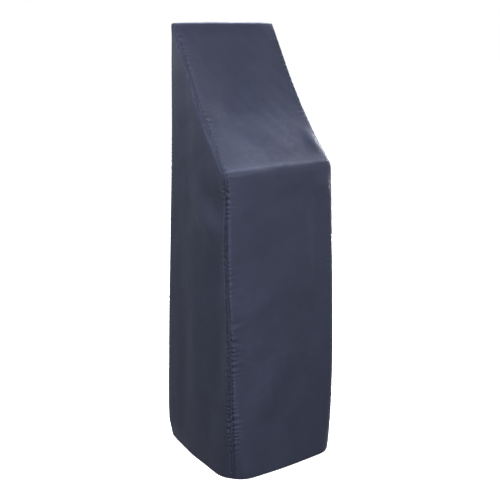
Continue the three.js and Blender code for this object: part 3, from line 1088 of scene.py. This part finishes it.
@dataclass(frozen=True)
class Thread:
    """One machine stitch and how closely the stitches follow each other."""

    pitch: float = 0.0052
    length: float = 0.0043
    width: float = 0.0014
    height: float = 0.0011
    run: int = 8

    def _sew_run(self, stitches: bmesh.types.BMesh, middles: Array, walked: Array,
                 points: Array, outward: Array) -> None:
        """Adds a few stitches that follow each other.

        Args:
            stitches: the mesh that they join.
            middles: how far along the row each one's middle is.
            walked: the distance along the row at each of its points.
            points: the points that the row follows.
            outward: the ways that the cloth faces there.
        """
        run = bmesh.new()
        size = Matrix.Diagonal((self.length / 2.0, self.width / 2.0, self.height / 2.0, 1.0))
        for middle in middles:
            def read(data: Array, at: float) -> Vector:
                return Vector([np.interp(at, walked, data[:, axis]) for axis in range(3)])

            half = self.length / 2.0
            way = (read(points, middle + half) - read(points, middle - half)).normalized()
            beside = read(outward, middle).cross(way).normalized()
            turn = Matrix((way, beside, way.cross(beside))).transposed().to_4x4()
            place = Matrix.Translation(read(points, middle))
            bmesh.ops.create_icosphere(
                run, subdivisions=1, radius=1.0, matrix=place @ turn @ size)
        made = bpy.data.meshes.new("stitch_run")
        run.to_mesh(made)
        run.free()
        stitches.from_mesh(made)
        bpy.data.meshes.remove(made)

    def sew(self, name: str, rows: list[tuple[Array, Array]],
            material: bpy.types.Material) -> bpy.types.Object:
        """Sews rows of stitches.

        Args:
            name: the piece's name.
            rows: for each row, the points it follows and the ways they face.
            material: the thread's finish.

        Returns:
            One object that holds all the stitches.
        """
        stitches = bmesh.new()
        for points, outward in rows:
            walked = np.concatenate(
                [[0.0], np.cumsum(np.linalg.norm(np.diff(points, axis=0), axis=1))])
            middles = np.arange(self.pitch, walked[-1] - self.pitch, self.pitch)
            for run in np.array_split(middles, len(middles) // self.run + 1):
                self._sew_run(stitches, run, walked, points, outward)
        for face in stitches.faces:
            face.smooth = True
        mesh = bpy.data.meshes.new(name)
        stitches.to_mesh(mesh)
        stitches.free()
        mesh.materials.append(material)
        sewn = linked(name, mesh)
        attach(sewn, BODY)
        LOG.info("%s: %d faces", name, len(mesh.polygons))
        return sewn


@dataclass
class Stitching:
    """The rows of stitches along the seams and the hem."""

    strip: StripSurface
    sides: tuple[SideSurface, SideSurface]
    hem: Hem
    thread: Thread = field(default_factory=Thread)
    step: float = 0.003
    seam_end: float = 0.002
    hem_end: float = 0.0005
    hem_points: int = 240

    def seam_rows(self, side: SideSurface) -> list[tuple[Array, Array]]:
        """The two rows that hold one side's seam, from the front hem to the back hem.

        Args:
            side: the side panel.

        Returns:
            The points and the outward ways of each row.
        """
        row_at = self.strip.form.relief.row_at
        along = np.arange(self.seam_end, side.full_length - self.seam_end, self.step)
        station = side.outline.station_at(along)
        width = self.strip.width(station)
        across = np.full(along.shape, row_at)
        if side.side.out > 0.0:
            across = width - row_at
        on_side = side.seam_point(along, np.full(along.shape, row_at))
        return [self.strip.at(station, across)[:2], side.at(on_side)[:2]]

    def hem_rows(self) -> list[tuple[Array, Array]]:
        """The row of stitches above the hem, on each panel in turn."""
        at = self.hem.stitched_at
        rows = []
        for along in (at, self.strip.left.length[-1] - at):
            station = self.strip.left.station_at(along)
            width = float(self.strip.width(np.array([station]))[0])
            across = np.arange(self.hem_end, width - self.hem_end, self.step)
            rows.append(self.strip.at(np.full(across.shape, station), across)[:2])
        for side in self.sides:
            ends = side.seam_point(
                np.array([at, side.full_length - at]), np.full(2, self.hem_end))
            share = np.linspace(0.0, 1.0, self.hem_points)[:, None]
            rows.append(side.at(lerp(ends[0], ends[1], share))[:2])
        return rows


class Nodes:
    """Builds a material's node tree, one short call for each node."""

    def __init__(self, name: str) -> None:
        """Starts an empty material with a Principled shader.

        Args:
            name: the material's name.
        """
        self.material = bpy.data.materials.new(name)
        self.material.use_nodes = True
        self.tree = self.material.node_tree
        self.tree.nodes.clear()
        output = self.tree.nodes.new("ShaderNodeOutputMaterial")
        self.shader = self.tree.nodes.new("ShaderNodeBsdfPrincipled")
        self.link(self.shader.outputs["BSDF"], output.inputs["Surface"])

    def link(self, start: bpy.types.NodeSocket, end: bpy.types.NodeSocket) -> None:
        """Joins two sockets."""
        self.tree.links.new(start, end)

    def add(self, kind: str, **inputs: object) -> bpy.types.Node:
        """Adds a node.

        Args:
            kind: its type, without the ShaderNode at its start.
            inputs: values or sockets for its inputs, by name with _ for a space.

        Returns:
            The node.
        """
        node = self.tree.nodes.new("ShaderNode" + kind)
        self.fill(node, **inputs)
        return node

    def fill(self, node: bpy.types.Node, **inputs: object) -> None:
        """Sets a node's inputs to values or sockets, by name with _ for a space."""
        for name, value in inputs.items():
            self._feed(node.inputs[name.replace("_", " ")], value)

    def _feed(self, socket: bpy.types.NodeSocket, value: object) -> None:
        """Links a socket into an input, or sets the input's value."""
        if isinstance(value, bpy.types.NodeSocket):
            self.link(value, socket)
        else:
            socket.default_value = value

    def math(self, operation: str, first: object, second: object = 0.0) -> bpy.types.NodeSocket:
        """Adds a Math node and returns its result."""
        node = self.tree.nodes.new("ShaderNodeMath")
        node.operation = operation
        for socket, value in zip(node.inputs, (first, second)):
            self._feed(socket, value)
        return node.outputs[0]

    def ramp(self, factor: bpy.types.NodeSocket,
             stops: tuple[tuple[float, tuple[float, float, float]], ...]) -> bpy.types.NodeSocket:
        """Adds a colour ramp.

        Args:
            factor: what it reads.
            stops: the place and the colour of each stop.

        Returns:
            The ramp's colour.
        """
        node = self.tree.nodes.new("ShaderNodeValToRGB")
        elements = node.color_ramp.elements
        while len(elements) < len(stops):
            elements.new(0.5)
        for element, (place, colour) in zip(elements, stops):
            element.position = place
            element.color = (*colour, 1.0)
        self.link(factor, node.inputs["Fac"])
        return node.outputs["Color"]


@dataclass(frozen=True)
class CoatedCloth:
    """Dark blue polyester cloth with a soft shine, woven finely and coated on its back."""

    colour: tuple[float, float, float] = (0.0290, 0.0326, 0.0525)
    worn: tuple[float, float, float] = (0.0330, 0.0370, 0.0595)
    # How far the painted shade in the seams' grooves darkens the base colour
    painted_seam_shade_strength: float = 0.62
    roughness: float = 0.46
    cloud_scale: float = 9.0
    cloud_from: float = 0.30
    cloud_to: float = 0.72
    cloud_matt: float = 0.10
    grain_scale: float = 420.0
    grain_matt: float = 0.06
    yarns_per_metre: float = 1150.0
    weave_strength: float = 0.5
    weave_depth: float = 0.00018
    crease_scale: float = 34.0
    crease_strength: float = 0.30
    crease_depth: float = 0.0009
    specular: float = 0.62
    specular_tint: tuple[float, float, float] = (0.52, 0.60, 1.0)
    sheen: float = 0.12
    sheen_roughness: float = 0.35
    sheen_tint: tuple[float, float, float] = (0.62, 0.70, 1.0)

    def material(self) -> bpy.types.Material:
        """Builds the finish's material."""
        nodes = Nodes("coated_cloth")
        place = nodes.add("TexCoord")
        parts = nodes.add("SeparateXYZ", Vector=place.outputs["UV"])
        turns = self.yarns_per_metre * 2.0 * math.pi
        warp, weft = (nodes.math("SINE", nodes.math("MULTIPLY", parts.outputs[axis], turns))
                      for axis in "XY")
        weave = nodes.math("MULTIPLY", warp, weft)

        where = place.outputs["Object"]
        cloudy = nodes.add("TexNoise", Vector=where, Scale=self.cloud_scale, Detail=4.0,
                           Roughness=0.55)
        cloud = nodes.ramp(cloudy.outputs["Fac"],
                           ((self.cloud_from, self.colour), (self.cloud_to, self.worn)))
        grain = nodes.add("TexNoise", Vector=where, Scale=self.grain_scale, Detail=2.0)
        matt = nodes.math("ADD", nodes.math("MULTIPLY", cloudy.outputs["Fac"], self.cloud_matt),
                          nodes.math("MULTIPLY", grain.outputs["Fac"], self.grain_matt))
        # Noise is 0.5 on average, so half of what both can add comes off the roughness
        least = self.roughness - (self.cloud_matt + self.grain_matt) / 2.0
        matt = nodes.math("ADD", matt, least)
        creased = nodes.add("TexNoise", Vector=where, Scale=self.crease_scale, Detail=3.0,
                            Roughness=0.5)

        woven = nodes.add("Bump", Height=weave, Strength=self.weave_strength,
                          Distance=self.weave_depth)
        soft = nodes.add("Bump", Height=creased.outputs["Fac"], Strength=self.crease_strength,
                         Distance=self.crease_depth, Normal=woven.outputs["Normal"])
        # Painted shade: the base colour is darkened in the seams' grooves and pinches, standing in
        # for their self-shadow
        shade = nodes.add("Attribute")
        shade.attribute_name = "painted_seam_shade"
        left = nodes.math("SUBTRACT", 1.0, nodes.math(
            "MULTIPLY", shade.outputs["Fac"], self.painted_seam_shade_strength))
        tone = nodes.add("VectorMath")
        tone.operation = "SCALE"
        nodes.link(cloud, tone.inputs[0])
        nodes.link(left, tone.inputs["Scale"])
        nodes.fill(nodes.shader, Base_Color=tone.outputs[0], Roughness=matt,
                   Normal=soft.outputs["Normal"], Specular_IOR_Level=self.specular,
                   Specular_Tint=(*self.specular_tint, 1.0), Sheen_Weight=self.sheen,
                   Sheen_Roughness=self.sheen_roughness, Sheen_Tint=(*self.sheen_tint, 1.0))
        return nodes.material


@dataclass(frozen=True)
class SewingThread:
    """Spun polyester thread, a shade darker than the cloth."""

    dark: tuple[float, float, float] = (0.010, 0.012, 0.022)
    light: tuple[float, float, float] = (0.018, 0.021, 0.038)
    roughness: float = 0.62
    specular: float = 0.3
    twist_scale: float = 1500.0
    twist_depth: float = 0.0002

    def material(self) -> bpy.types.Material:
        """Builds the finish's material."""
        nodes = Nodes("sewing_thread")
        place = nodes.add("TexCoord")
        twist = nodes.add("TexNoise", Vector=place.outputs["Object"], Scale=self.twist_scale,
                          Detail=1.0)
        tone = nodes.ramp(twist.outputs["Fac"], ((0.35, self.dark), (0.65, self.light)))
        strands = nodes.add("Bump", Height=twist.outputs["Fac"], Strength=0.4,
                            Distance=self.twist_depth)
        nodes.fill(nodes.shader, Base_Color=tone, Normal=strands.outputs["Normal"],
                   Roughness=self.roughness, Specular_IOR_Level=self.specular)
        return nodes.material


@dataclass(frozen=True)
class SoftBox:
    """A square studio lamp that looks at the cover.

    Its azimuth is counted from the front towards the right, its elevation from the level of the
    cover's middle, both in degrees.
    """

    name: str
    azimuth: float
    elevation: float
    power: float
    size: float = 1.8
    distance: float = 3.4
    colour: tuple[float, float, float] = (1.0, 1.0, 1.0)

    def light(self, target: Vector) -> None:
        """Hangs the lamp.

        Args:
            target: the point that it looks at.
        """
        lamp = bpy.data.lights.new(self.name, "AREA")
        lamp.shape = "SQUARE"
        lamp.size = self.size
        lamp.energy = self.power
        lamp.color = self.colour
        way = way_to(self.azimuth, self.elevation)
        holder = linked(self.name, lamp)
        holder.location = target + way * self.distance
        holder.rotation_euler = (-way).to_track_quat("-Z", "Y").to_euler()
        holder.visible_camera = False


@dataclass
class Studio:
    """A plain pale floor, a white background and soft lamps."""

    floor_colour: tuple[float, float, float] = (0.86, 0.86, 0.87)
    floor_half: float = 30.0
    floor_glow: float = 0.90
    fill: float = 0.20
    aim_depth: float = -0.2
    aim_height: float = 0.85
    lamps: tuple[SoftBox, ...] = (
        SoftBox("high_behind", 140.0, 58.0, 72.0, colour=(0.84, 0.93, 1.15)),
        SoftBox("left_high", -70.0, 58.0, 90.0),
        SoftBox("front_low", -15.0, 2.0, 66.0),
        SoftBox("right_low", 80.0, 2.0, 21.0),
        SoftBox("right", 80.0, 30.0, 10.0),
        SoftBox("right_behind", 120.0, 30.0, 95.0),
        SoftBox("right_behind_low", 120.0, 2.0, 300.0),
        SoftBox("left_behind", -150.0, 30.0, 25.0),
    )

    def build(self, floor_height: float) -> None:
        """Lays the floor, hangs the lamps and sets the background.

        Args:
            floor_height: where the hem meets the floor.
        """
        floor_mesh = bmesh.new()
        bmesh.ops.create_grid(floor_mesh, x_segments=1, y_segments=1, size=self.floor_half)
        bmesh.ops.translate(floor_mesh, verts=floor_mesh.verts, vec=(0.0, 0.0, floor_height))
        mesh = bpy.data.meshes.new("studio_floor")
        floor_mesh.to_mesh(mesh)
        floor_mesh.free()
        nodes = Nodes("studio_floor")
        nodes.fill(nodes.shader, Base_Color=(*self.floor_colour, 1.0), Roughness=0.9,
                   Specular_IOR_Level=0.1, Emission_Color=(1.0, 1.0, 1.0, 1.0),
                   Emission_Strength=self.floor_glow)
        mesh.materials.append(nodes.material)
        floor = linked("studio_floor", mesh)
        floor.visible_diffuse = False
        floor.visible_glossy = False

        target = Vector((0.0, self.aim_depth, floor_height + self.aim_height))
        for lamp in self.lamps:
            lamp.light(target)
        self._background()
        bpy.context.scene.view_settings.view_transform = "Standard"

    def _background(self) -> None:
        """Sets a background that looks white and lights the cover only faintly."""
        world = bpy.data.worlds.new("studio")
        world.use_nodes = True
        tree = world.node_tree
        background = tree.nodes["Background"]
        background.inputs["Color"].default_value = (1.0, 1.0, 1.0, 1.0)
        seen = tree.nodes.new("ShaderNodeLightPath")
        strength = tree.nodes.new("ShaderNodeMath")
        strength.operation = "MAXIMUM"
        strength.inputs[1].default_value = self.fill
        tree.links.new(seen.outputs["Is Camera Ray"], strength.inputs[0])
        tree.links.new(strength.outputs[0], background.inputs["Strength"])
        bpy.context.scene.world = world


@dataclass(frozen=True)
class PhotoCamera:
    """A camera where the photographer stood."""

    azimuth: float = -33.41
    elevation: float = 15.62
    distance: float = 3.2011
    lens: float = 58.19
    aim_depth: float = -0.2
    aim_height: float = 0.85
    aim_right: float = -0.0073
    aim_up: float = -0.0203

    def build(self, hanging_point: Array) -> None:
        """Places the camera.

        Args:
            hanging_point: the frame's origin, in the outline's depth and height.
        """
        turn = math.radians(self.azimuth)
        right = Vector((math.cos(turn), math.sin(turn), 0.0))
        back = way_to(self.azimuth, self.elevation)
        aim = Vector((0.0, self.aim_depth, self.aim_height)) - Vector(hanging_point)
        aim += right * self.aim_right + Vector((0.0, 0.0, self.aim_up))
        camera = bpy.data.cameras.new("photo_camera")
        camera.lens = self.lens
        camera.sensor_width = 36.0
        holder = linked("photo_camera", camera)
        holder.location = aim + back * self.distance
        holder.rotation_mode = "QUATERNION"
        holder.rotation_quaternion = (-back).to_track_quat("-Z", "Y")
        bpy.context.scene.camera = holder


def main() -> None:
    """Builds the cover, piece by piece, and its studio."""
    logging.basicConfig(level=logging.INFO, format="%(message)s")
    form = CoverForm()
    hem = Hem()
    PhotoCamera().build(form.hanging_point)
    Studio().build(-float(form.hanging_point[2]))

    cloth = CoatedCloth().material()
    thread = SewingThread().material()
    strip_surface = StripSurface(form)
    left_surface = SideSurface(form, LEFT_SIDE)
    right_surface = SideSurface(form, RIGHT_SIDE)
    strip = CentreStrip(strip_surface, hem).build(cloth)
    left = SidePanel(left_surface, hem, "side_left").build(cloth)
    right = SidePanel(right_surface, hem, "side_right").build(cloth)

    stitching = Stitching(strip_surface, (left_surface, right_surface), hem)
    sewn = stitching.thread
    left_rows = sewn.sew("seam_stitches_left", stitching.seam_rows(left_surface), thread)
    right_rows = sewn.sew("seam_stitches_right", stitching.seam_rows(right_surface), thread)
    hem_rows = sewn.sew("hem_stitches", stitching.hem_rows(), thread)


if __name__ == "__main__":
    main()
